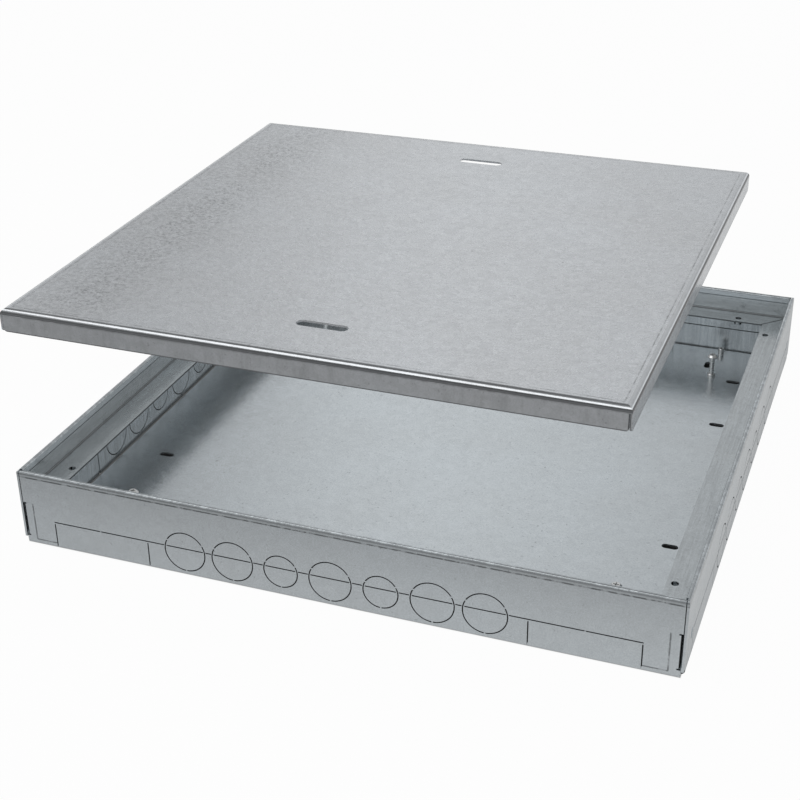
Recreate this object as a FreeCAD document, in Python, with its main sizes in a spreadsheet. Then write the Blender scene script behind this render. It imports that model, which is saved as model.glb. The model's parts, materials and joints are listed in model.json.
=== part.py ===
"""Underfloor cable pull box: a folded steel tray with knock-outs, lid rails, levelling screws and a lid.

The origin is the middle of the tray's underside, +Z is up and the front wall faces -Y. Millimetres.
"""
import FreeCAD, Part
import math
import operator
import os

import Sketcher

SIZES = {
    # tray
    "box_width": 600.0,
    "box_height": 75.0,
    "sheet": 2.0,
    "bend_radius": 2.0,
    "hem_height": 6.5,
    "hem_flat": 0.4,
    "seam_gap": 0.8,
    "foot_height": 7.0,
    # knock-outs in each wall
    "slit_width": 1.1,
    "slit_web": 0.4,
    "bridge_width": 1.2,
    "entry_top": 28.5,
    "entry_inset": 33.0,
    "divider_margin": 17.0,
    "conduit_pitch": 45.5,
    "conduit_bottom": 4.9,
    "conduit_large": 38.5,
    "conduit_small": 31.2,
    # tabs that tie the front and back walls to the side walls
    "tab_step": 1.5,
    "tab_gap": 5.5,
    "tab_relief": 1.5,
    "tab_bend": 1.2,
    "tab_length": 36.0,
    "clinch_length": 11.0,
    "clinch_width": 4.5,
    "clinch_depth": 0.8,
    "clinch_inset": 25.5,
    "clinch_rise": 2.5,
    # slots in the floor
    "anchor_length": 15.0,
    "anchor_width": 7.0,
    "anchor_inset": 47.0,
    "anchor_inner": 119.0,
    "anchor_corner_inset": 80.0,
    # rails that carry the lid
    "rail_sheet": 2.0,
    "rail_bend": 1.0,
    "rail_width": 26.0,
    "rail_gap": 0.8,
    "mitre_gap": 1.5,
    "rail_hole": 6.5,
    "rail_hole_inset": 21.0,
    "rail_hole_end": 55.0,
    "rail_collar": 4.0,
    "rail_collar_wall": 1.0,
    # levelling screws and their press nuts
    "screw_inset": 72.0,
    "screw_diameter": 5.0,
    "screw_length": 24.0,
    "screw_tip": 0.8,
    "screw_lift": 0.3,
    "screw_clearance": 0.1,
    "head_diameter": 10.5,
    "head_height": 3.2,
    "head_edge": 1.4,
    "head_crown": 7.0,
    "recess_length": 5.0,
    "recess_width": 1.1,
    "recess_depth": 1.9,
    "nut_rise": 3.0,
    # earthing bush
    "earth_side_inset": 71.0,
    "earth_inset": 16.0,
    "earth_rise": 7.5,
    "earth_bore": 3.3,
    # what the press nuts and the earthing bush share
    "bush_wall": 0.8,
    "bush_flange": 0.6,
    "bush_chamfer": 0.5,
    "press_clearance": 0.05,
    # lid
    "lid_sheet": 2.0,
    "lid_bend": 3.5,
    "lid_height": 22.0,
    "lid_clearance": 1.0,
    "lid_sink": 2.0,
    "lid_seam": 0.5,
    "lid_foot_round": 3.0,
    "lid_slot_length": 50.0,
    "lid_slot_width": 12.0,
    "lid_slot_inset": 63.0,
    "lid_shift_x": -66.0,
    "lid_shift_y": 86.5,
    "lid_lift": 111.0,
}

OPERATIONS = {"+": operator.add, "-": operator.sub, "*": operator.mul, "/": operator.truediv}


class Length:
    """A size as its present number and as the formula that keeps a feature bound to the sheet."""

    def __init__(self, number, formula=None):
        self.number = number
        self.formula = formula or f"{number:.9g}"

    def combined(self, sign, other):
        other = other if isinstance(other, Length) else Length(other)
        number = OPERATIONS[sign](self.number, other.number)
        return Length(number, f"({self.formula} {sign} {other.formula})")

    def __add__(self, other):
        return self.combined("+", other)

    def __sub__(self, other):
        return self.combined("-", other)

    def __mul__(self, other):
        return self.combined("*", other)

    def __truediv__(self, other):
        return self.combined("/", other)

    def __neg__(self):
        return self * -1

    def root(self):
        return Length(math.sqrt(self.number), f"sqrt({self.formula})")


ZERO = Length(0.0)

doc = FreeCAD.newDocument("cable_pull_box")
sheet_of_sizes = doc.addObject("Spreadsheet::Sheet", "sizes")
size = {}
for row, (alias, number) in enumerate(SIZES.items(), start=1):
    sheet_of_sizes.set(f"A{row}", alias)
    sheet_of_sizes.set(f"B{row}", str(number))
    sheet_of_sizes.setAlias(f"B{row}", alias)
    size[alias] = Length(number, f"sizes.{alias}")
doc.recompute()

# Lengths that several pieces share
half_width = size["box_width"] / 2
sheet = size["sheet"]
wall_inside = half_width - sheet
hem_inside = wall_inside - sheet
bend_outside = size["bend_radius"] + sheet
hem_bottom = size["box_height"] - size["hem_height"]
rail_top = size["box_height"] - size["lid_sink"] - size["lid_height"]
entry_reach = half_width - size["entry_inset"]
conduit_height = size["conduit_bottom"] + (size["slit_width"] + size["conduit_large"]) / 2
tab_low = size["foot_height"] + size["tab_step"]
tab_high = rail_top - size["rail_sheet"] - size["tab_gap"]
tab_outside = wall_inside - size["seam_gap"]
tab_bend_outside = size["tab_bend"] + sheet
screw_reach = half_width - size["screw_inset"]
earth_x = half_width - size["earth_side_inset"]
earth_y = half_width - size["earth_inset"]
lid_half = hem_inside - size["lid_clearance"]
lid_bend_outside = size["lid_bend"] + size["lid_sheet"]
nut_bore = size["screw_diameter"] + size["screw_clearance"] * 2
bush_thickness = size["bush_wall"] * 2
hole_clearance = size["press_clearance"] * 2

START, END, CENTRE = 1, 2, 3
CORNERS = [(1, -1), (1, 1), (-1, 1), (-1, -1)]
WALLS = ("front", "right", "back", "left")
BRIDGE_ANGLES = (30, 150, 270)
OVERCUT = 1.0
TOLERANCE = 1e-6


def set_size(feature, name, length):
    """Bind one property of a feature to the sheet."""
    feature.setExpression(name, length.formula)


def new_body(name):
    body = doc.addObject("PartDesign::Body", name)
    body.Label = name
    return body


def new_sketch(body, name, plane, offset=ZERO):
    """Sketch on one of the body's own origin planes, shifted along the plane's normal."""
    sketch = body.newObject("Sketcher::SketchObject", name)
    support = next(item for item in body.Origin.OriginFeatures if item.Role == plane)
    sketch.AttachmentSupport = [(support, "")]
    sketch.MapMode = "FlatFace"
    set_size(sketch, "AttachmentOffset.Base.z", offset)
    return sketch


def hold(sketch, constraints):
    """Add constraints to a sketch, and bind to the sheet those that come with a length."""
    numbers = sketch.addConstraint([constraint for constraint, length in constraints])
    for number, (constraint, length) in zip(numbers, constraints):
        if length:
            sketch.setExpression(f"Constraints[{number}]", length.formula)


def pinned(geometry, point, x, y):
    """Constraints that hold one point at a distance from the sketch's origin."""
    return [
        (Sketcher.Constraint("DistanceX", -1, 1, geometry, point, x.number), x),
        (Sketcher.Constraint("DistanceY", -1, 1, geometry, point, y.number), y),
    ]


def meeting(edge, point, other_edge, other_point, kind="Coincident"):
    """Constraint that brings the ends of two edges together."""
    return (Sketcher.Constraint(kind, edge, point, other_edge, other_point), None)


def vector(point):
    return FreeCAD.Vector(point[0].number, point[1].number, 0)


def polygon(sketch, points):
    """Closed outline of straight edges through the given points."""
    corners = [vector(point) for point in points]
    sides = [Part.LineSegment(start, end) for start, end in zip(corners, corners[1:] + corners[:1])]
    edges = sketch.addGeometry(sides, False)
    constraints = []
    for edge, following, (x, y) in zip(edges, edges[1:] + edges[:1], points):
        constraints.append(meeting(edge, END, following, START))
        constraints += pinned(edge, START, x, y)
    hold(sketch, constraints)


def rectangle(sketch, left, right, low, high):
    polygon(sketch, [(left, low), (right, low), (right, high), (left, high)])


def circle(sketch, x, y, diameter):
    ring = Part.Circle(vector((x, y)), FreeCAD.Vector(0, 0, 1), diameter.number / 2)
    edge = sketch.addGeometry(ring, False)
    across = (Sketcher.Constraint("Diameter", edge, diameter.number), diameter)
    hold(sketch, pinned(edge, CENTRE, x, y) + [across])


def arc_about(centre, radius, start_angle, end_angle):
    ring = Part.Circle(vector(centre), FreeCAD.Vector(0, 0, 1), radius.number)
    return Part.ArcOfCircle(ring, math.radians(start_angle), math.radians(end_angle))


def obround(sketch, x, y, length, width, upright=False):
    """Slot with round ends about a centre, lying along the sketch's first axis unless it is upright."""
    reach = (length - width) / 2
    radius = width / 2
    if upright:
        centres = [(x, y + reach), (x, y - reach)]
        start_angle = 0
    else:
        centres = [(x + reach, y), (x - reach, y)]
        start_angle = -90
    caps = [
        arc_about(centres[0], radius, start_angle, start_angle + 180),
        arc_about(centres[1], radius, start_angle + 180, start_angle + 360),
    ]
    sides = [
        Part.LineSegment(caps[0].EndPoint, caps[1].StartPoint),
        Part.LineSegment(caps[1].EndPoint, caps[0].StartPoint),
    ]
    cap, other_cap, side, other_side = sketch.addGeometry(caps + sides, False)
    constraints = [
        meeting(cap, END, side, START, "Tangent"),
        meeting(side, END, other_cap, START, "Tangent"),
        meeting(other_cap, END, other_side, START, "Tangent"),
        meeting(other_side, END, cap, START, "Tangent"),
    ]
    for edge, centre in zip((cap, other_cap), centres):
        constraints += pinned(edge, CENTRE, *centre)
        constraints.append((Sketcher.Constraint("Radius", edge, radius.number), radius))
    hold(sketch, constraints)


def pad(body, sketch, length, symmetric=False):
    feature = body.newObject("PartDesign::Pad", sketch.Name + "_pad")
    feature.Profile = sketch
    feature.SideType = "Symmetric" if symmetric else "One side"
    set_size(feature, "Length", length)
    sketch.Visibility = False
    doc.recompute()
    return feature


def pocket(body, sketch, length, along_normal=True):
    """Cut a sketch into the body, along its plane's normal unless told otherwise."""
    feature = body.newObject("PartDesign::Pocket", sketch.Name + "_pocket")
    feature.Profile = sketch
    feature.Reversed = along_normal
    set_size(feature, "Length", length)
    sketch.Visibility = False
    doc.recompute()
    return feature


def turned_copies(body, features, count):
    """Repeat features about the body's upright axis."""
    pattern = body.newObject("PartDesign::PolarPattern", features[0].Name + "_turned")
    pattern.Originals = features
    upright = next(item for item in body.Origin.OriginFeatures if item.Role == "Z_Axis")
    pattern.Axis = (upright, [""])
    pattern.Angle = 360
    pattern.Occurrences = count
    body.Tip = pattern
    doc.recompute()
    return pattern


def level_edges(shape, height):
    """Names of the straight edges that lie at one height."""
    names = []
    for number, edge in enumerate(shape.Edges, start=1):
        box = edge.BoundBox
        if box.ZLength < TOLERANCE and abs(box.ZMin - height.number) < TOLERANCE:
            names.append(f"Edge{number}")
    return names


def fillet(body, base, edges, radius, name):
    feature = body.newObject("PartDesign::Fillet", name)
    feature.Base = (base, edges)
    set_size(feature, "Radius", radius)
    doc.recompute()
    return feature


def square_block(body, name, half, height):
    """Upright square block on the body's own ground plane."""
    outline = new_sketch(body, name, "XY_Plane")
    rectangle(outline, -half, half, -half, half)
    return pad(body, outline, height)


def square_hollow(body, name, half, bottom, depth):
    """Square hollow cut upward from one height."""
    outline = new_sketch(body, name, "XY_Plane", bottom)
    rectangle(outline, -half, half, -half, half)
    return pocket(body, outline, depth)


def folded_tray():
    """Floor and four walls folded from one sheet, with a closed hem round the rim and open corner seams."""
    body = new_body("tray_sheet")
    block = square_block(body, "tray_outline", half_width, size["box_height"])
    fillet(body, block, level_edges(block.Shape, ZERO), bend_outside, "floor_bends")
    hollow = square_hollow(body, "tray_hollow", wall_inside, sheet, size["box_height"])
    fillet(body, hollow, level_edges(hollow.Shape, sheet), size["bend_radius"], "floor_inner_bends")
    rim_hem(body)
    corner_seams(body)
    corner_tabs(body)
    floor_holes(body)
    return body


def rim_hem(body):
    """Second layer inside the rim, where each wall's top edge is folded down flat, with a rounded fold."""
    layer = new_sketch(body, "hem_layer", "XY_Plane", hem_bottom)
    rectangle(layer, -wall_inside, wall_inside, -wall_inside, wall_inside)
    rectangle(layer, -hem_inside, hem_inside, -hem_inside, hem_inside)
    folded = pad(body, layer, size["hem_height"])
    fold = sheet - size["hem_flat"]
    fillet(body, folded, level_edges(folded.Shape, size["box_height"]), fold, "hem_fold")


def corner_seams(body):
    """Gaps between the walls at each corner: the seam, the cut-back hem ends and the raised side wall end."""
    seam = new_sketch(body, "corner_seam", "XY_Plane", bend_outside)
    clear = new_sketch(body, "hem_end", "XY_Plane", hem_bottom)
    foot = new_sketch(body, "corner_foot", "XY_Plane")
    hem_end = hem_inside - size["seam_gap"]
    past = half_width + OVERCUT
    for right, back in CORNERS:
        rectangle(seam, tab_outside * right, wall_inside * right, wall_inside * back, past * back)
        rectangle(clear, hem_end * right, wall_inside * right, hem_end * back, wall_inside * back)
        foot_end = half_width - size["foot_height"]
        rectangle(foot, tab_outside * right, past * right, foot_end * back, past * back)
    pocket(body, seam, size["box_height"])
    pocket(body, clear, size["box_height"])
    pocket(body, foot, size["foot_height"])


def corner_tabs(body):
    """Tabs bent inward from the ends of the front and back walls, flat against the side walls."""
    window = new_sketch(body, "tab_window", "XY_Plane", tab_low)
    tab = new_sketch(body, "bent_tab", "XY_Plane", tab_low + size["tab_relief"])
    bend_start = tab_outside - tab_bend_outside
    for right, back in CORNERS:
        past = half_width + OVERCUT
        rectangle(window, bend_start * right, wall_inside * right, wall_inside * back, past * back)
        tab_outline(tab, bend_start, right, back)
    pocket(body, window, tab_high - tab_low)
    pad(body, tab, tab_high - tab_low - size["tab_relief"] * 2)
    clinch = new_sketch(body, "clinch_mark", "YZ_Plane", half_width - size["clinch_depth"])
    clinch_height = (tab_low + tab_high) / 2 + size["clinch_rise"]
    for back in (-1, 1):
        along = (half_width - size["clinch_inset"]) * back
        obround(clinch, along, clinch_height, size["clinch_length"], size["clinch_width"], upright=True)
    mark = pocket(body, clinch, size["clinch_depth"] + OVERCUT)
    turned_copies(body, [mark], 2)


def tab_outline(sketch, bend_start, right, back):
    """Plan of one tab: out of the wall's end, round the bend and along the side wall."""
    bend_end = half_width - tab_bend_outside
    tab_end = half_width - size["tab_length"]
    tab_inside = tab_outside - sheet
    centre = (bend_start * right, bend_end * back)
    first_angle = {(1, 1): 0, (-1, 1): 90, (-1, -1): 180, (1, -1): 270}[right, back]
    bends = [
        arc_about(centre, tab_bend_outside, first_angle, first_angle + 90),
        arc_about(centre, size["tab_bend"], first_angle, first_angle + 90),
    ]
    leads_in = right != back
    at_wall, at_tab = (START, END) if leads_in else (END, START)
    corners = [
        (bend_start * right, wall_inside * back),
        (bend_start * right, half_width * back),
        (tab_outside * right, bend_end * back),
        (tab_outside * right, tab_end * back),
        (tab_inside * right, tab_end * back),
        (tab_inside * right, bend_end * back),
    ]
    spans = [(0, 1), (2, 3), (3, 4), (4, 5)]
    lines = [Part.LineSegment(vector(corners[start]), vector(corners[end])) for start, end in spans]
    outer, inner, root, along, tip, returning = sketch.addGeometry(bends + lines, False)
    constraints = [
        meeting(root, END, outer, at_wall),
        meeting(outer, at_tab, along, START),
        meeting(along, END, tip, START),
        meeting(tip, END, returning, START),
        meeting(returning, END, inner, at_tab),
        meeting(inner, at_wall, root, START),
        (Sketcher.Constraint("Radius", outer, tab_bend_outside.number), tab_bend_outside),
        (Sketcher.Constraint("Radius", inner, size["tab_bend"].number), size["tab_bend"]),
    ]
    for edge, (start, end) in zip((root, along, returning), ((0, 1), (2, 3), (4, 5))):
        constraints += pinned(edge, START, *corners[start])
        constraints += pinned(edge, END, *corners[end])
    hold(sketch, constraints)


def floor_holes(body):
    """Anchor slots, press nut holes and the gap that frees each wall's knock-out flaps from the floor."""
    anchors = new_sketch(body, "anchor_slots", "XY_Plane")
    across = half_width - size["anchor_inset"]
    for along in (size["anchor_inner"], half_width - size["anchor_corner_inset"]):
        for back in (-1, 1):
            obround(anchors, across, along * back, size["anchor_length"], size["anchor_width"])
    turned_copies(body, [pocket(body, anchors, sheet)], 4)
    flap_gap = new_sketch(body, "flap_gap", "XY_Plane")
    gap_start = half_width - bend_outside - size["seam_gap"]
    rectangle(flap_gap, gap_start, wall_inside, -entry_reach, entry_reach)
    turned_copies(body, [pocket(body, flap_gap, bend_outside)], 4)
    nuts = new_sketch(body, "nut_holes", "XY_Plane")
    for right, back in CORNERS:
        circle(nuts, screw_reach * right, screw_reach * back, nut_bore + bush_thickness + hole_clearance)
    circle(nuts, earth_x, earth_y, size["earth_bore"] + bush_thickness + hole_clearance)
    pocket(body, nuts, sheet)


def conduit_row():
    """Place and diameter of each round knock-out along a wall: a large one, then small and large outward."""
    row = [(ZERO, size["conduit_large"])]
    for step, name in enumerate(("conduit_small", "conduit_large", "conduit_large"), start=1):
        for side in (-1, 1):
            row.append((size["conduit_pitch"] * step * side, size[name]))
    return sorted(row, key=lambda knock_out: knock_out[0].number)


def wall_slits():
    """The thin cuts of all knock-outs in the front wall, less what holds the knock-outs in.

    The cuts come from both faces of the sheet and leave a web between them, and bridges break them.
    """
    body = new_body("wall_slits")
    behind_wall = wall_inside - OVERCUT
    through = sheet + OVERCUT * 2
    rings = new_sketch(body, "round_slits", "XZ_Plane", behind_wall)
    lines = new_sketch(body, "straight_slits", "XZ_Plane", behind_wall)
    bridges = new_sketch(body, "bridges", "XZ_Plane", behind_wall - OVERCUT)
    row = conduit_row()
    for middle, diameter in row:
        circle(rings, middle, conduit_height, diameter + size["slit_width"])
        circle(rings, middle, conduit_height, diameter - size["slit_width"])
        conduit_bridges(bridges, middle, diameter / 2)
    entry_slits(lines, bridges, row)
    web = new_sketch(body, "slit_web", "XZ_Plane", wall_inside + (sheet - size["slit_web"]) / 2)
    rectangle(web, -half_width, half_width, ZERO, size["box_height"])
    slits = [pad(body, rings, through), pad(body, lines, through)]
    slits.append(pocket(body, bridges, through + OVERCUT * 2))
    slits.append(pocket(body, web, size["slit_web"]))
    for feature in slits:
        feature.Refine = False
    return body


def conduit_bridges(sketch, middle, radius):
    """Bridges across the slit of one round knock-out."""
    bridge = size["bridge_width"] / 2
    reach = size["slit_width"] * 2
    for angle in BRIDGE_ANGLES:
        x = middle + radius * math.cos(math.radians(angle))
        z = conduit_height + radius * math.sin(math.radians(angle))
        wide, tall = (bridge, reach) if angle == 270 else (reach, bridge)
        rectangle(sketch, x - wide, x + wide, z - tall, z + tall)


def entry_slits(lines, bridges, row):
    """Straight slits of the flat knock-outs: one top line through the row, two ends and two dividers."""
    slit = size["slit_width"]
    bridge = size["bridge_width"]
    top = size["entry_top"]
    rise = top - conduit_height
    cut_from = -entry_reach
    for middle, diameter in row:
        radius = diameter / 2
        half_chord = (radius * radius - rise * rise).root()
        rectangle(lines, cut_from, middle - half_chord - bridge, top - slit, top)
        rectangle(lines, middle - half_chord + bridge, middle + half_chord - bridge, top - slit, top)
        cut_from = middle + half_chord + bridge
    rectangle(lines, cut_from, entry_reach, top - slit, top)
    last_conduit, last_diameter = row[-1]
    divider = last_conduit + last_diameter / 2 + size["divider_margin"]
    for side in (-1, 1):
        end = entry_reach * side
        rectangle(lines, end, end - slit * side, ZERO, top - slit - bridge)
        half_slit = slit / 2
        across = divider * side
        rectangle(lines, across - half_slit, across + half_slit, ZERO, top - slit - bridge)
        middle = (end + across) / 2
        rectangle(bridges, middle - bridge / 2, middle + bridge / 2, top - slit * 2, top + slit)


def box_tray():
    """The folded tray with the same knock-outs cut in its four walls."""
    tools = [wall_slits()]
    for turns, wall in enumerate(WALLS[1:], start=1):
        turned = doc.addObject("App::Link", f"{wall}_slits")
        turned.LinkedObject = tools[0]
        turned.Placement = quarter_turned(turns)
        tools.append(turned)
    slits = doc.addObject("Part::Compound", "knock_out_slits")
    slits.Links = tools
    tray = doc.addObject("Part::Cut", "box_tray")
    tray.Base = folded_tray()
    tray.Tool = slits
    tray.Label = "box_tray"
    doc.recompute()
    return tray


def quarter_turned(turns):
    """Placement turned about the upright axis by quarter turns."""
    return FreeCAD.Placement(FreeCAD.Vector(0, 0, 0), FreeCAD.Rotation(FreeCAD.Vector(0, 0, 1), 90 * turns))


def ledge_rail(name, turns):
    """Angle rail along one wall: an upstand on the wall and a shelf for the lid, mitred at both ends.

    Each hole in the shelf is drawn downward into a short collar.
    """
    body = new_body(name)
    thickness = size["rail_sheet"]
    upstand_top = hem_bottom - size["rail_gap"]
    shelf_end = wall_inside - size["rail_width"]
    upstand = new_sketch(body, name + "_section", "YZ_Plane")
    polygon(upstand, [
        (-wall_inside, rail_top - thickness),
        (-shelf_end, rail_top - thickness),
        (-shelf_end, rail_top),
        (thickness - wall_inside, rail_top),
        (thickness - wall_inside, upstand_top),
        (-wall_inside, upstand_top),
    ])
    angle = pad(body, upstand, wall_inside * 2, symmetric=True)
    inside_corner = upright_corner(angle.Shape, thickness - wall_inside, rail_top)
    bend = fillet(body, angle, inside_corner, size["rail_bend"], name + "_inner_bend")
    outside_corner = upright_corner(bend.Shape, -wall_inside, rail_top - thickness)
    fillet(body, bend, outside_corner, size["rail_bend"] + thickness, name + "_outer_bend")
    mitre = new_sketch(body, name + "_mitre", "XY_Plane", rail_top - thickness - OVERCUT)
    half_gap = size["mitre_gap"] / 2
    past = size["rail_width"] + OVERCUT
    for side in (-1, 1):
        polygon(mitre, [
            ((wall_inside - half_gap + OVERCUT) * side, -wall_inside - OVERCUT),
            ((wall_inside - half_gap - past) * side, past - wall_inside),
            ((wall_inside + OVERCUT) * side, past - wall_inside),
            ((wall_inside + OVERCUT) * side, -wall_inside - OVERCUT),
        ])
    pocket(body, mitre, size["box_height"])
    collar_bottom = rail_top - thickness - size["rail_collar"]
    collars = new_sketch(body, name + "_collars", "XY_Plane", collar_bottom)
    holes = new_sketch(body, name + "_holes", "XY_Plane", collar_bottom)
    across = size["rail_hole_inset"] - half_width
    for side in (-1, 1):
        along = (half_width - size["rail_hole_end"]) * side
        circle(collars, along, across, size["rail_hole"] + size["rail_collar_wall"] * 2)
        circle(holes, along, across, size["rail_hole"])
    pad(body, collars, size["rail_collar"])
    pocket(body, holes, size["rail_collar"] + thickness)
    body.Placement = quarter_turned(turns)
    return body


def upright_corner(shape, across, height):
    """Names of the long edges that run along X at one place of a section."""
    names = []
    for number, edge in enumerate(shape.Edges, start=1):
        box = edge.BoundBox
        flat = box.YLength < TOLERANCE and box.ZLength < TOLERANCE
        if flat and abs(box.YMin - across.number) < TOLERANCE and abs(box.ZMin - height.number) < TOLERANCE:
            names.append(f"Edge{number}")
    return names


def revolved(body, name, points):
    """Turned body from half of its section, about the upright axis."""
    section = new_sketch(body, name + "_section", "XZ_Plane")
    polygon(section, points)
    feature = body.newObject("PartDesign::Revolution", name + "_turned")
    feature.Profile = section
    feature.ReferenceAxis = (section, ["V_Axis"])
    feature.Angle = 360
    section.Visibility = False
    doc.recompute()
    return feature


def place(body, x, y, z):
    """Stand a finished body at its place in the box."""
    set_size(body, "Placement.Base.x", x)
    set_size(body, "Placement.Base.y", y)
    set_size(body, "Placement.Base.z", z)


def levelling_screw(name, right, back):
    """Pan head machine screw with a cross recess, standing head up in its press nut."""
    body = new_body(name)
    radius = size["screw_diameter"] / 2
    head = size["head_diameter"] / 2
    under_head = size["screw_length"]
    top = under_head + size["head_height"]
    revolved(body, name, [
        (ZERO, ZERO),
        (radius - size["screw_tip"], ZERO),
        (radius, size["screw_tip"]),
        (radius, under_head),
        (head, under_head),
        (head, under_head + size["head_edge"]),
        (size["head_crown"] / 2, top),
        (ZERO, top),
    ])
    cross = new_sketch(body, name + "_recess", "XY_Plane", top - size["recess_depth"])
    long_half = size["recess_length"] / 2
    short_half = size["recess_width"] / 2
    polygon(cross, [
        (long_half, -short_half),
        (long_half, short_half),
        (short_half, short_half),
        (short_half, long_half),
        (-short_half, long_half),
        (-short_half, short_half),
        (-long_half, short_half),
        (-long_half, -short_half),
        (-short_half, -short_half),
        (-short_half, -long_half),
        (short_half, -long_half),
        (short_half, -short_half),
    ])
    pocket(body, cross, size["recess_depth"] + OVERCUT)
    place(body, screw_reach * right, screw_reach * back, size["screw_lift"])
    return body


def press_bush(name, rise, bore):
    """Round bush pressed into a floor hole: a spigot in the sheet and a collar on top of it."""
    body = new_body(name)
    spigot = (bore + bush_thickness) / 2
    collar = spigot + size["bush_flange"]
    top = sheet + rise
    revolved(body, name, [
        (bore / 2, ZERO),
        (spigot, ZERO),
        (spigot, sheet),
        (collar, sheet),
        (collar, top - size["bush_chamfer"]),
        (collar - size["bush_chamfer"], top),
        (bore / 2, top),
    ])
    return body


def levelling_nut(name, right, back):
    """Press nut that one levelling screw turns in."""
    body = press_bush(name, size["nut_rise"], nut_bore)
    place(body, screw_reach * right, screw_reach * back, ZERO)
    return body


def earth_bush():
    """Threaded bush for the earth wire, by the back wall."""
    body = press_bush("earth_bush", size["earth_rise"], size["earth_bore"])
    place(body, earth_x, earth_y, ZERO)
    return body


def lid():
    """Flat lid with four flanges folded down, open seams at its corners and two lifting slots."""
    body = new_body("lid")
    block = square_block(body, "lid_outline", lid_half, size["lid_height"])
    fillet(body, block, level_edges(block.Shape, size["lid_height"]), lid_bend_outside, "lid_bends")
    under_top = size["lid_height"] - size["lid_sheet"]
    flange_end = lid_half - size["lid_sheet"]
    hollow = square_hollow(body, "lid_hollow", flange_end, ZERO, under_top)
    fillet(body, hollow, level_edges(hollow.Shape, under_top), size["lid_bend"], "lid_inner_bends")
    seams = new_sketch(body, "lid_seams", "XY_Plane")
    for right, back in CORNERS:
        past = lid_half + OVERCUT
        seam_start = flange_end - size["lid_seam"]
        rectangle(seams, seam_start * right, flange_end * right, flange_end * back, past * back)
    pocket(body, seams, size["lid_height"] - lid_bend_outside)
    slots = new_sketch(body, "lifting_slots", "XY_Plane", under_top)
    slot_reach = lid_half - size["lid_slot_inset"]
    for back in (-1, 1):
        obround(slots, ZERO, slot_reach * back, size["lid_slot_length"], size["lid_slot_width"])
    opened = pocket(body, slots, size["lid_sheet"])
    corners = flange_corners(opened.Shape)
    fillet(body, opened, corners, size["lid_foot_round"], "flange_corners")
    place(body, size["lid_shift_x"], size["lid_shift_y"], rail_top + size["lid_lift"])
    return body


def flange_corners(shape):
    """Names of the short edges through the sheet at the lower corners of the flanges."""
    names = []
    thickness = size["lid_sheet"].number
    for number, edge in enumerate(shape.Edges, start=1):
        box = edge.BoundBox
        low = abs(box.ZMin) < TOLERANCE and box.ZLength < TOLERANCE
        if low and abs(edge.Length - thickness) < TOLERANCE:
            names.append(f"Edge{number}")
    return names


pieces = [box_tray(), lid()]
for turns, wall in enumerate(WALLS):
    pieces.append(ledge_rail("ledge_" + wall, turns))
for number, (right, back) in enumerate(CORNERS, start=1):
    pieces.append(levelling_screw(f"levelling_screw_{number}", right, back))
    pieces.append(levelling_nut(f"levelling_nut_{number}", right, back))
pieces.append(earth_bush())
doc.recompute()

for item in doc.Objects:
    if "Invalid" in item.State or "Error" in item.State:
        raise RuntimeError(f"{item.Name} did not compute: {item.State}")
    if item.TypeId == "PartDesign::Pocket" and item.Shape.Volume >= item.BaseFeature.Shape.Volume:
        raise RuntimeError(f"{item.Name} cuts nothing")
for piece in pieces:
    if piece.Shape.isNull() or not piece.Shape.isValid() or len(piece.Shape.Solids) != 1:
        raise RuntimeError(f"{piece.Label} is not one sound solid")

os.makedirs("parts", exist_ok=True)
for piece in pieces:
    piece.Shape.exportStep(f"parts/{piece.Label}.step")
    print(piece.Label, round(piece.Shape.Volume / 1000, 1), "cm3")
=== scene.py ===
"""Looks of the cable pull box: spangled zinc sheet in soft studio light, seen as the photograph shows it."""
import json
import math

import bpy
from mathutils import Matrix, Vector


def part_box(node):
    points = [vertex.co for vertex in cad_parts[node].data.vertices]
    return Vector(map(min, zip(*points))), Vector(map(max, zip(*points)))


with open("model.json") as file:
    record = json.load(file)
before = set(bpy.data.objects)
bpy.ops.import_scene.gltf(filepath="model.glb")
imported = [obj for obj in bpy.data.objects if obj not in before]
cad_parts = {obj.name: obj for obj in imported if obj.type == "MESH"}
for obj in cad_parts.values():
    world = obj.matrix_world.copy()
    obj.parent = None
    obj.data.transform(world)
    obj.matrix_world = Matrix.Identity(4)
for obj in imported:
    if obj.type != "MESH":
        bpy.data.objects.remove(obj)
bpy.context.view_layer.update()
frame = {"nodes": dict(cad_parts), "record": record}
nodes = frame["nodes"]

MM = 0.001

# Camera, in metres and degrees, about a point on the ground
CAMERA_AZIMUTH = 20.762
CAMERA_ELEVATION = 27.955
CAMERA_ROLL = -0.862
CAMERA_DISTANCE = 1.6099
CAMERA_TARGET = Vector((-0.0742, 0.0686, 0.0))
CAMERA_LENS = 67.99
SENSOR_WIDTH = 36.0

# Brightness of the studio as the metal sees it, where 1 is white
BACK_WALL_LIGHT = 1.08
FRONT_LIGHT = 0.8
SIDE_LIGHT = 1.2
ROOM_LIGHT = 0.24

# Patterns in the zinc, in cells to the metre
SPANGLE = 170.0
FINE_GRAIN = 620.0
CLOUDS = 9.0
SPECKS = 330.0
GLOSS_PATCHES = 60.0
SOFT_BUMPS = 210.0

# Outlines of the parts, in metres
tray_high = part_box("box_tray")[1]
lid_low, lid_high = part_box("lid")
ledge_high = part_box("ledge_front")[1]
SHEET = 2.0 * MM
HALF_WIDTH = tray_high.x
RIM = tray_high.z
LID_CENTRE = (lid_low + lid_high) / 2
LID_HALF = (lid_high.x - lid_low.x) / 2
LID_TOP = lid_high.z
LID_FOOT = lid_low.z
LEDGE_TOP = RIM - SHEET - (LID_TOP - LID_FOOT)
LEDGE_EDGE = -ledge_high.y

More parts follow.
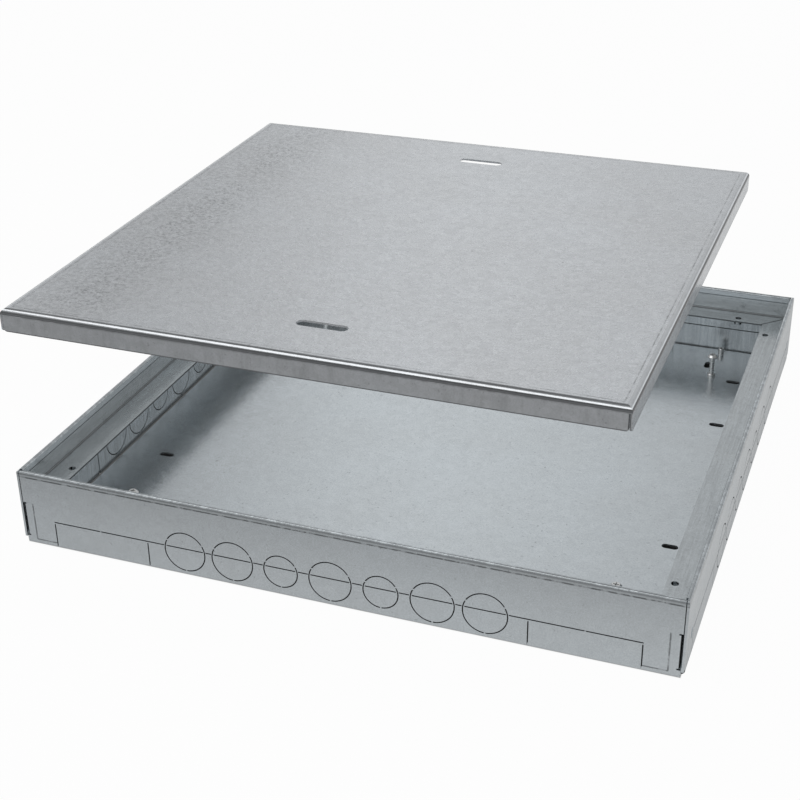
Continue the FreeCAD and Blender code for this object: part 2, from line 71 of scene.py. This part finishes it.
# Places of the marks, the painted shade and the painted highlight, up from the ground or out from the middle
# of a part
HEM_EDGE = RIM - 5.2 * MM
HEM_FOLD = RIM - 2.3 * MM
PRESS_LOW = 6.0 * MM
PRESS_HIGH = 43.0 * MM
PRESS_START = 267.0 * MM
PRESS_END = 287.5 * MM
# Where the painted highlight in the clinch recesses lies
CLINCH_RUN = HALF_WIDTH - 25.5 * MM
CLINCH_HEIGHT = 27.75 * MM
DIE_LINE = LID_HALF - 9.0 * MM
LID_SEAM = LID_HALF - SHEET - 0.25 * MM
# Strip of the lid's top whose bumps get painted shade
BUMPY_BAND_LEFT = -262.0 * MM
BUMPY_BAND_RIGHT = -200.0 * MM


def make_camera():
    azimuth = math.radians(CAMERA_AZIMUTH)
    elevation = math.radians(CAMERA_ELEVATION)
    roll = math.radians(CAMERA_ROLL)
    back = Vector((
        math.sin(azimuth) * math.cos(elevation),
        -math.cos(azimuth) * math.cos(elevation),
        math.sin(elevation),
    ))
    level = Vector((math.cos(azimuth), math.sin(azimuth), 0.0))
    upright = back.cross(level)
    right = level * math.cos(roll) + upright * math.sin(roll)
    up = upright * math.cos(roll) - level * math.sin(roll)
    data = bpy.data.cameras.new("camera")
    data.sensor_width = SENSOR_WIDTH
    data.lens = CAMERA_LENS
    camera = bpy.data.objects.new("camera", data)
    turn = Matrix((right, up, back)).transposed().to_4x4()
    camera.matrix_world = Matrix.Translation(CAMERA_TARGET + back * CAMERA_DISTANCE) @ turn
    bpy.context.scene.collection.objects.link(camera)
    bpy.context.scene.camera = camera


class Nodes:
    """Short names for adding and joining shader nodes in one tree."""

    def __init__(self, tree):
        self.tree = tree
        tree.nodes.clear()

    def add(self, kind, inputs=None, **settings):
        node = self.tree.nodes.new(kind)
        for name, value in settings.items():
            setattr(node, name, value)
        for name, value in (inputs or {}).items():
            self.join(value, node.inputs[name])
        return node

    def join(self, value, socket):
        if isinstance(value, bpy.types.NodeSocket):
            self.tree.links.new(value, socket)
        else:
            socket.default_value = value

    def math(self, operation, first, second=0.0, third=0.0):
        return self.add("ShaderNodeMath", {0: first, 1: second, 2: third}, operation=operation).outputs[0]

    def ramp(self, value, start, end, low=0.0, high=1.0):
        """Value from start to end mapped smoothly to low to high."""
        inputs = {"Value": value, "From Min": start, "From Max": end, "To Min": low, "To Max": high}
        return self.add("ShaderNodeMapRange", inputs, interpolation_type="SMOOTHSTEP").outputs["Result"]

    def line(self, value, place, width):
        """One on a line where value meets place, fading to nothing over width."""
        distance = self.math("ABSOLUTE", self.math("SUBTRACT", value, place))
        return self.ramp(distance, width / 2, width, 1.0, 0.0)

    def between(self, value, low, high, soft=0.3 * MM):
        """One where value lies from low to high, with soft ends."""
        above = self.ramp(value, low - soft, low + soft)
        return self.math("MULTIPLY", above, self.ramp(value, high - soft, high + soft, 1.0, 0.0))

    def chain(self, operation, values):
        result = values[0]
        for value in values[1:]:
            result = self.math(operation, result, value)
        return result

    def product(self, *values):
        return self.chain("MULTIPLY", values)

    def total(self, *values):
        return self.chain("ADD", values)

    def most(self, *values):
        return self.chain("MAXIMUM", values)

    def scaled(self, value, factor, offset):
        """Value times factor, plus offset."""
        return self.math("MULTIPLY_ADD", value, factor, offset)

    def inverse(self, share):
        """What a share leaves of one."""
        return self.math("SUBTRACT", 1.0, share)

    def either(self, choice, yes, no):
        """Yes where the choice is one, and no where it is nothing."""
        return self.scaled(choice, self.math("SUBTRACT", yes, no), no)

    def axes(self, vector):
        outputs = self.add("ShaderNodeSeparateXYZ", {"Vector": vector}).outputs
        return outputs["X"], outputs["Y"], outputs["Z"]

    def stretched(self, point, factors):
        """Point with its axes scaled, to draw a pattern out along the one with the small factor."""
        return self.add("ShaderNodeVectorMath", {0: point, 1: factors}, operation="MULTIPLY").outputs[0]

    def grey(self, value):
        return self.add("ShaderNodeCombineColor", {0: value, 1: value, 2: value}).outputs[0]

    def mix(self, share, first, second, blend="MIX"):
        node = self.add("ShaderNodeMix", data_type="RGBA", blend_type=blend)
        self.join(share, node.inputs[0])
        self.join(first, node.inputs[6])
        self.join(second, node.inputs[7])
        return node.outputs[2]

    def noise(self, point, scale, detail=2.0, roughness=0.5):
        inputs = {"Vector": point, "Scale": scale, "Detail": detail, "Roughness": roughness}
        return self.add("ShaderNodeTexNoise", inputs).outputs["Fac"]

    def surface(self, shader):
        self.add("ShaderNodeOutputMaterial", {"Surface": shader})


def new_material(name):
    material = bpy.data.materials.new(name)
    material.use_nodes = True
    return material, Nodes(material.node_tree)


class Place:
    """Where a point of a square sheet part lies and which way it faces.

    Reach is how far out it is towards the nearest wall, and run how far along that wall, from the middle.
    """

    def __init__(self, n, centre):
        self.point = n.add("ShaderNodeTexCoord").outputs["Object"]
        x, y, self.height = n.axes(self.point)
        self.x = n.math("SUBTRACT", x, centre.x)
        self.y = n.math("SUBTRACT", y, centre.y)
        across = n.math("ABSOLUTE", self.x)
        along = n.math("ABSOLUTE", self.y)
        self.reach = n.math("MAXIMUM", across, along)
        self.run = n.math("MINIMUM", across, along)
        self.at_side = n.math("GREATER_THAN", across, along)
        normal_x, normal_y, _ = n.axes(n.add("ShaderNodeNewGeometry").outputs["True Normal"])
        self.faces_x = n.math("ABSOLUTE", normal_x)
        self.faces_y = n.math("ABSOLUTE", normal_y)


def zinc(name, tone, metal, roughness, grain, peel, centre, marks):
    """Spangled zinc coat: cells of slightly differing grey, fine grain, clouds, specks and the part's marks.

    Metal is the share of the coat that mirrors the studio, while the rest scatters light. Grain is the
    strength of its fine pattern, and peel that of its soft bumps. The marks say what share of the colour a
    place loses or gains, from real marks and from painted shade and painted light, and where a bend has
    burnished the coat.
    """
    material, n = new_material(name)
    place = Place(n, centre)
    point = place.point
    dark, bend = marks(n, place)
    flat = n.inverse(bend)
    cells = n.add("ShaderNodeTexVoronoi", {"Vector": point, "Scale": SPANGLE, "Randomness": 1.0})
    cell_tone, cell_gloss, cell_height = n.add(
        "ShaderNodeSeparateColor", {"Color": cells.outputs["Color"]},
    ).outputs
    fine = n.noise(point, FINE_GRAIN, 3.0, 0.6)
    cloud = n.noise(point, CLOUDS, 3.0, 0.55)
    specks = n.ramp(n.noise(point, SPECKS), 0.66, 0.74)

    light = n.product(
        n.scaled(cell_tone, 0.10 * grain, 1.0 - 0.05 * grain),
        n.scaled(n.ramp(fine, 0.3, 0.7, -0.14 * grain, 0.10 * grain), flat, 1.0),
        n.ramp(cloud, 0.3, 0.7, 0.98, 1.02),
        n.scaled(specks, -0.24, 1.0),
        n.inverse(dark),
    )
    tint = n.mix(cloud, (*tone, 1.0), (tone[0] * 0.98, tone[1], tone[2] * 1.02, 1.0))
    colour = n.mix(1.0, tint, n.grey(light), "MULTIPLY")

    patches = n.scaled(n.noise(point, GLOSS_PATCHES, 4.0, 0.6), 0.10, roughness - 0.05)
    gloss = n.product(n.scaled(cell_gloss, 0.05, patches), n.scaled(bend, -0.6, 1.0))

    height = n.math("MULTIPLY", n.scaled(cell_height, 0.25, fine), flat)
    bump = n.add("ShaderNodeBump", {"Strength": 0.08 * grain, "Distance": 0.4 * MM, "Height": height})
    swell = n.math("MULTIPLY", n.noise(point, SOFT_BUMPS, 2.0, 0.45), flat)
    peeled = n.add("ShaderNodeBump", {
        "Strength": peel, "Distance": 0.4 * MM, "Height": swell, "Normal": bump.outputs["Normal"],
    })
    shader = n.add("ShaderNodeBsdfPrincipled", {
        "Base Color": colour, "Roughness": gloss, "Metallic": metal, "Normal": peeled.outputs["Normal"],
        "Specular Tint": (0.75, 0.75, 0.75, 1.0),
    })
    n.surface(shader.outputs["BSDF"])
    return material


def cut_edges(n, place, half, low, high):
    """Mask for painted shade in cut edges: one inside the thickness of a square part's upright sheet, in
    slits, seams and windows.
    """
    buried = n.between(place.reach, half - SHEET + 0.35 * MM, half - 0.35 * MM, 0.2 * MM)
    return n.math("MULTIPLY", buried, n.between(place.height, low, high))


def tray_marks(n, place):
    """Painted shadow and shade on the hem and rim top, press marks at the wall ends, streaks inside the
    walls, painted shade in the cut edges and a painted highlight in the clinch recesses.
    """
    outside = n.ramp(place.reach, HALF_WIDTH - 1.0 * MM, HALF_WIDTH - 0.5 * MM)
    broken = n.ramp(n.noise(place.point, 140.0, 3.0, 0.7), 0.40, 0.52)
    # A real edge with a painted shadow: a dark dashed line along the hem's lower edge, outside.
    hem_edge_shadow = n.product(n.line(place.height, HEM_EDGE, 0.9 * MM), n.scaled(broken, 0.5, 0.2))
    # Painted shade: the hem's outside above that edge is up to 12% darker.
    hem_band_shade = n.ramp(place.height, HEM_EDGE - 0.2 * MM, HEM_EDGE + 0.6 * MM, 0.0, 0.12)
    upright_span = n.between(place.height, PRESS_LOW, PRESS_HIGH)
    upright = n.product(n.line(place.run, PRESS_END, 0.9 * MM), upright_span)
    level_span = n.between(place.run, PRESS_START, PRESS_END)
    level = n.product(n.line(place.height, PRESS_LOW, 0.8 * MM), level_span)
    pressed = n.product(n.most(upright, level), n.scaled(broken, 0.4, 0.2))
    # Painted dark reflection in a line on the rounded outer side of the rim's hem.
    fold_shade = n.math("MULTIPLY", n.line(place.height, HEM_FOLD, 1.0 * MM), 0.4)
    # Painted hem shadow and shade, together with the real press marks, on the outside only.
    hem_shade_and_press_marks = n.math("MULTIPLY", outside, n.most(hem_edge_shadow, hem_band_shade, pressed, fold_shade))

    rim_top = n.ramp(place.height, RIM - 2.2 * MM, RIM - 1.4 * MM)
    # Painted dark reflection: the rim top is 15 to 35% darker, broken by noise.
    rim_top_shade = n.math("MULTIPLY", rim_top, n.scaled(broken, 0.2, 0.15))

    inside = n.between(place.reach, HALF_WIDTH - SHEET - 0.5 * MM, HALF_WIDTH - SHEET + 0.3 * MM)
    upright_grain = n.noise(n.stretched(place.point, (1.0, 1.0, 0.03)), 420.0, 3.0, 0.6)
    streaks = n.product(inside, n.ramp(upright_grain, 0.35, 0.65), 0.22)

    # Painted highlight: the clinch recesses on the side walls are made 30% lighter and kept out of the
    # cut-edge shade.
    clinch = n.product(
        n.between(place.run, CLINCH_RUN - 3.0 * MM, CLINCH_RUN + 3.0 * MM),
        n.between(place.height, CLINCH_HEIGHT - 6.5 * MM, CLINCH_HEIGHT + 6.5 * MM),
        place.at_side,
    )
    clinch_highlight = n.product(clinch, n.ramp(place.reach, HALF_WIDTH - 0.7 * MM, HALF_WIDTH - 0.3 * MM, 1.0, 0.0), 0.3)

    # Painted shade, all but black, inside the sheet's thickness in slits and windows and on the slot faces
    # beside the wall foot.
    cut = n.product(cut_edges(n, place, HALF_WIDTH, 4.4 * MM, RIM - 8.0 * MM), n.inverse(clinch))
    faces_along = n.either(place.at_side, place.faces_y, place.faces_x)
    foot_cut = n.product(
        n.math("GREATER_THAN", faces_along, 0.7),
        n.ramp(place.height, 4.6 * MM, 5.0 * MM, 1.0, 0.0),
        n.ramp(place.reach, HALF_WIDTH - 4.4 * MM, HALF_WIDTH - 4.0 * MM),
    )
    painted_cut_shade = n.math("MULTIPLY", n.most(cut, foot_cut), 0.97)
    return n.math("SUBTRACT", n.most(hem_shade_and_press_marks, rim_top_shade, streaks, painted_cut_shade), clinch_highlight), rim_top


def rail_marks(n, place):
    """Streaks along each rail, painted shade at its bend and on its free edge, and painted shade in the mitre
    gaps.
    """
    lengthways = n.either(place.at_side, place.y, place.x)
    grain = n.add("ShaderNodeCombineXYZ", {
        "X": n.math("MULTIPLY", lengthways, 0.04), "Y": place.reach, "Z": place.height,
    })
    streaks = n.ramp(n.noise(grain.outputs[0], 640.0, 3.0, 0.65), 0.35, 0.68, 0.0, 0.15)
    # Painted shade in the concave bend of the rail; the same mask also burnishes the bend.
    bend = n.product(
        n.ramp(place.reach, HALF_WIDTH - 5.6 * MM, HALF_WIDTH - 4.8 * MM),
        n.between(place.height, LEDGE_TOP - 0.5 * MM, LEDGE_TOP + 1.4 * MM),
    )
    # Painted shade on the rail's free edge, below the ledge top.
    edge = n.product(
        n.ramp(place.reach, LEDGE_EDGE + 0.1 * MM, LEDGE_EDGE + 0.4 * MM, 1.0, 0.0),
        n.ramp(place.height, LEDGE_TOP - 0.6 * MM, LEDGE_TOP - 0.2 * MM, 1.0, 0.0),
    )
    # Painted shade in the mitre gaps: faces turned across both axes are made all but black.
    mitre = n.math("GREATER_THAN", n.math("MINIMUM", place.faces_x, place.faces_y), 0.5)
    # Streaks together with the painted shade.
    dark = n.most(streaks, n.product(bend, 0.65), n.product(edge, 0.75), n.product(mitre, 0.96))
    return dark, bend


def lid_marks(n, place):
    """Faint die lines, painted dark reflections on the bends, painted shade of bumps at the left of the top,
    mottle, stains, painted light on the side flanges, and painted shade at the right seam, the flange foot
    and cut edges.
    """
    top = n.ramp(place.height, LID_TOP - 0.4 * MM, LID_TOP - 0.2 * MM)
    outside = n.ramp(place.reach, LID_HALF - 0.6 * MM, LID_HALF - 0.3 * MM)
    flange = n.ramp(place.height, LID_TOP - 6.0 * MM, LID_TOP - 5.0 * MM, 1.0, 0.0)
    bend = n.product(n.ramp(place.reach, LID_HALF - 6.0 * MM, LID_HALF - 5.0 * MM), n.inverse(flange))

    broken = n.ramp(n.noise(place.point, 90.0, 3.0, 0.7), 0.38, 0.6)
    die_line = n.product(n.line(place.reach, DIE_LINE, 0.8 * MM), top, n.scaled(broken, 0.35, 0.08))
    # Painted dark reflection in a line where the front and back bends start.
    painted_shade_above_bend = n.product(
        n.line(place.reach, LID_HALF - 4.2 * MM, 1.6 * MM),
        n.ramp(place.height, LID_TOP - 1.4 * MM, LID_TOP - 1.0 * MM),
        n.inverse(place.at_side), 0.55,
    )
    # Painted dark reflection on the lower half of every bend, running onto the flange.
    painted_shade_below_bend = n.product(
        n.ramp(place.reach, LID_HALF - 3.6 * MM, LID_HALF - 2.4 * MM),
        n.ramp(place.height, LID_TOP - 7.0 * MM, LID_TOP - 3.4 * MM),
        n.ramp(place.height, LID_TOP - 2.6 * MM, LID_TOP - 1.8 * MM, 1.0, 0.0), 0.85,
    )
    # Painted shade on the right-hand seam between the flanges.
    seam = n.product(n.line(place.x, LID_SEAM, 1.4 * MM), outside, flange, 0.8)
    # Painted shade along the flange foot.
    foot = n.product(n.ramp(place.height, LID_FOOT + 0.7 * MM, LID_FOOT + 1.3 * MM, 1.0, 0.0), outside, 0.6)
    runs = n.noise(n.stretched(place.point, (1.0, 1.0, 0.2)), 110.0, 4.0, 0.65)
    stains = n.product(n.ramp(runs, 0.45, 0.7), flange, outside, 0.13)
    # Painted shade, all but black, inside the sheet's thickness where it is cut through.
    cut = n.product(cut_edges(n, place, LID_HALF, LID_FOOT + 0.6 * MM, LID_TOP - 5.0 * MM), 0.96)

    cloud = n.noise(place.point, 14.0)
    # Painted shade of the bumps in a strip at the left of the top: dark specks on a 2% darker ground, broken
    # by clouds.
    bumpy_band = n.product(n.between(place.x, BUMPY_BAND_LEFT, BUMPY_BAND_RIGHT, 35.0 * MM), n.ramp(cloud, 0.3, 0.6, 0.4, 1.0))
    bump_specks = n.ramp(n.noise(place.point, 400.0), 0.53, 0.61)
    bump_shade = n.product(n.scaled(bump_specks, 0.3, 0.02), bumpy_band, top)
    blotches = n.ramp(n.noise(place.point, 190.0), 0.42, 0.58, -0.05, 0.11)
    mottled = n.product(blotches, n.ramp(place.x, -0.23, -0.12, 1.0, 0.0), top)

    # Real marks and painted shade together; the painted light on the side flanges is taken off after.
    marks_and_shade = n.most(die_line, n.total(bump_shade, mottled), painted_shade_above_bend, painted_shade_below_bend, seam, foot, stains, cut)
    # Painted light: the left and right flanges are made up to 46% lighter than the front and back ones.
    pale = n.product(place.at_side, flange, outside, 0.46)
    return n.math("SUBTRACT", marks_and_shade, pale), n.most(bend, n.product(flange, 0.5))


def bright_zinc():
    """Bright zinc plate of the screws, nuts and bush."""
    material, n = new_material("bright_zinc")
    mottle = n.noise(n.add("ShaderNodeTexCoord").outputs["Object"], 700.0, 3.0, 0.6)
    colour = n.mix(mottle, (0.60, 0.61, 0.61, 1.0), (0.84, 0.84, 0.83, 1.0))
    gloss = n.ramp(mottle, 0.3, 0.7, 0.22, 0.36)
    shader = n.add("ShaderNodeBsdfPrincipled", {"Base Color": colour, "Roughness": gloss, "Metallic": 1.0})
    n.surface(shader.outputs["BSDF"])
    return material


def dress():
    """Give every node its finish."""
    middle = Vector((0.0, 0.0, 0.0))
    tray = zinc(
        "zinc_sheet", tone=(0.648, 0.684, 0.702), metal=0.8, roughness=0.20, grain=0.5, peel=0.1,
        centre=middle, marks=tray_marks,
    )
    rails = zinc(
        "zinc_rails", tone=(0.565, 0.594, 0.604), metal=0.8, roughness=0.20, grain=0.6, peel=0.1,
        centre=middle, marks=rail_marks,
    )
    cover = zinc(
        "zinc_lid", tone=(0.665, 0.678, 0.692), metal=0.65, roughness=0.25, grain=0.9, peel=0.6,
        centre=LID_CENTRE, marks=lid_marks,
    )
    finishes = {"galvanised_sheet": rails, "galvanised_lid": cover, "bright_zinc": bright_zinc()}
    for subpart in frame["record"]["subparts"]:
        piece = nodes[subpart["node"]]
        piece.data.materials.clear()
        finish = tray if subpart["node"] == "box_tray" else finishes[subpart["material_slot"]]
        piece.data.materials.append(finish)


def make_floor():
    """White floor that keeps the object's soft shadow, with painted shade under the tray and a painted
    reflection:
    dimmer in mirrors, darkest far in front and to the left.

    The painted shade ends just inside the tray's outline, and right below it at the two far walls.
    """
    bpy.ops.mesh.primitive_plane_add(size=14.0, location=(0.0, 0.0, -0.4 * MM))
    floor = bpy.context.object
    floor.name = "floor"
    material, n = new_material("floor_white")
    rays = n.add("ShaderNodeLightPath").outputs
    seen = n.math("MINIMUM", n.total(
        rays["Is Camera Ray"], rays["Is Glossy Ray"], rays["Is Transmission Ray"],
    ), 1.0)
    x, y, _ = n.axes(n.add("ShaderNodeTexCoord").outputs["Object"])
    near_walls = n.math("MAXIMUM", x, n.math("MULTIPLY", y, -1.0))
    far_walls = n.math("MAXIMUM", n.math("MULTIPLY", x, -1.0), y)
    reach = n.math("MAXIMUM", near_walls, n.math("SUBTRACT", far_walls, 2.0 * MM))
    # Painted shade: under the tray the floor is painted all but black and does not glow.
    open_ground = n.ramp(reach, HALF_WIDTH - 3.5 * MM, HALF_WIDTH - 2.0 * MM)
    # Painted reflection: the floor's glow as mirrors see it, darkest far in front and to the left, raised
    # beside the right wall.
    mirrored = n.product(
        n.ramp(y, -0.54, -0.30, 0.20, 0.58),
        n.ramp(x, -0.7, 0.2, 0.7, 1.0),
        n.ramp(x, 0.29, 0.33, 1.0, 1.3),
    )
    level = n.either(rays["Is Glossy Ray"], mirrored, 1.0)
    # Painted light: just inside the left wall the ground glows a little for camera and mirror rays.
    glow_inside_left_wall = n.ramp(x, 10.0 * MM - HALF_WIDTH, 14.0 * MM - HALF_WIDTH, 0.08, 0.0)
    share = n.product(seen, n.most(n.math("MULTIPLY", open_ground, 0.965), glow_inside_left_wall))
    paint = n.add("ShaderNodeBsdfDiffuse", {"Color": n.grey(n.scaled(open_ground, 0.88, 0.02))})
    glow = n.add("ShaderNodeEmission", {"Color": (1.0, 1.0, 1.0, 1.0), "Strength": level})
    both = n.add("ShaderNodeMixShader", {0: share, 1: paint.outputs[0], 2: glow.outputs[0]})
    n.surface(both.outputs[0])
    floor.data.materials.append(material)


def make_world():
    """Studio, dark above, with a bright wall behind and pale screens in front and at the right.

    The wall dims to both sides. The pale horizon carries the white floor on in a low view past its end.
    """
    world = bpy.data.worlds.new("studio")
    world.use_nodes = True
    bpy.context.scene.world = world
    n = Nodes(world.node_tree)
    x, y, z = n.axes(n.add("ShaderNodeTexCoord").outputs["Generated"])
    behind = n.ramp(y, -0.1, 0.6)
    low = n.product(
        n.ramp(z, 0.36, 0.47, 1.0, 0.78),
        n.ramp(z, 0.47, 0.58, 1.0, 0.93),
        n.ramp(z, 0.62, 0.85, 1.0, 0.0),
    )
    stripe = n.product(n.ramp(x, -0.62, -0.48), n.ramp(x, -0.47, -0.30, 1.0, 0.0))
    left = n.scaled(stripe, -0.45, n.ramp(x, -0.7, -0.3, 0.6, 1.0))
    right = n.product(n.ramp(x, -0.32, 0.0, 1.0, 0.56), n.ramp(x, 0.05, 0.4, 1.0, 0.5))
    wall = n.product(behind, low, left, right, BACK_WALL_LIGHT - ROOM_LIGHT)
    lower = n.ramp(z, 0.42, 0.60, 1.0, 0.0)
    front = n.product(n.ramp(y, -0.75, -0.35, 1.0, 0.0), lower, FRONT_LIGHT - ROOM_LIGHT)
    side = n.product(n.ramp(x, 0.5, 0.8), lower, SIDE_LIGHT - ROOM_LIGHT)
    horizon = n.ramp(z, 0.20, 0.28, 1.0, 0.0)
    strength = n.most(n.total(wall, front, side, ROOM_LIGHT), horizon)
    glow = n.add("ShaderNodeBackground", {"Color": (0.98, 0.99, 1.0, 1.0), "Strength": strength})
    n.add("ShaderNodeOutputWorld", {"Surface": glow.outputs[0]})


def add_softbox(name, place, aim, width, height, power):
    data = bpy.data.lights.new(name, "AREA")
    data.shape = "RECTANGLE"
    data.size = width
    data.size_y = height
    data.energy = power
    light = bpy.data.objects.new(name, data)
    light.location = place
    light.rotation_mode = "QUATERNION"
    light.rotation_quaternion = (Vector(aim) - Vector(place)).to_track_quat("-Z", "Y")
    bpy.context.scene.collection.objects.link(light)


def light_studio():
    """Light the studio; as in the photograph, the lifted lid neither shades the tray nor shows in it."""
    make_world()
    add_softbox(
        "overhead_softbox", place=(-0.8, -0.75, 1.9), aim=(-0.2, 0.0, 0.1), width=2.4, height=1.0, power=11.0,
    )
    bpy.context.scene.view_settings.view_transform = "Standard"
    cover = nodes["lid"]
    cover.visible_shadow = False
    cover.visible_diffuse = False
    cover.visible_glossy = False


make_camera()
dress()
make_floor()
light_studio()
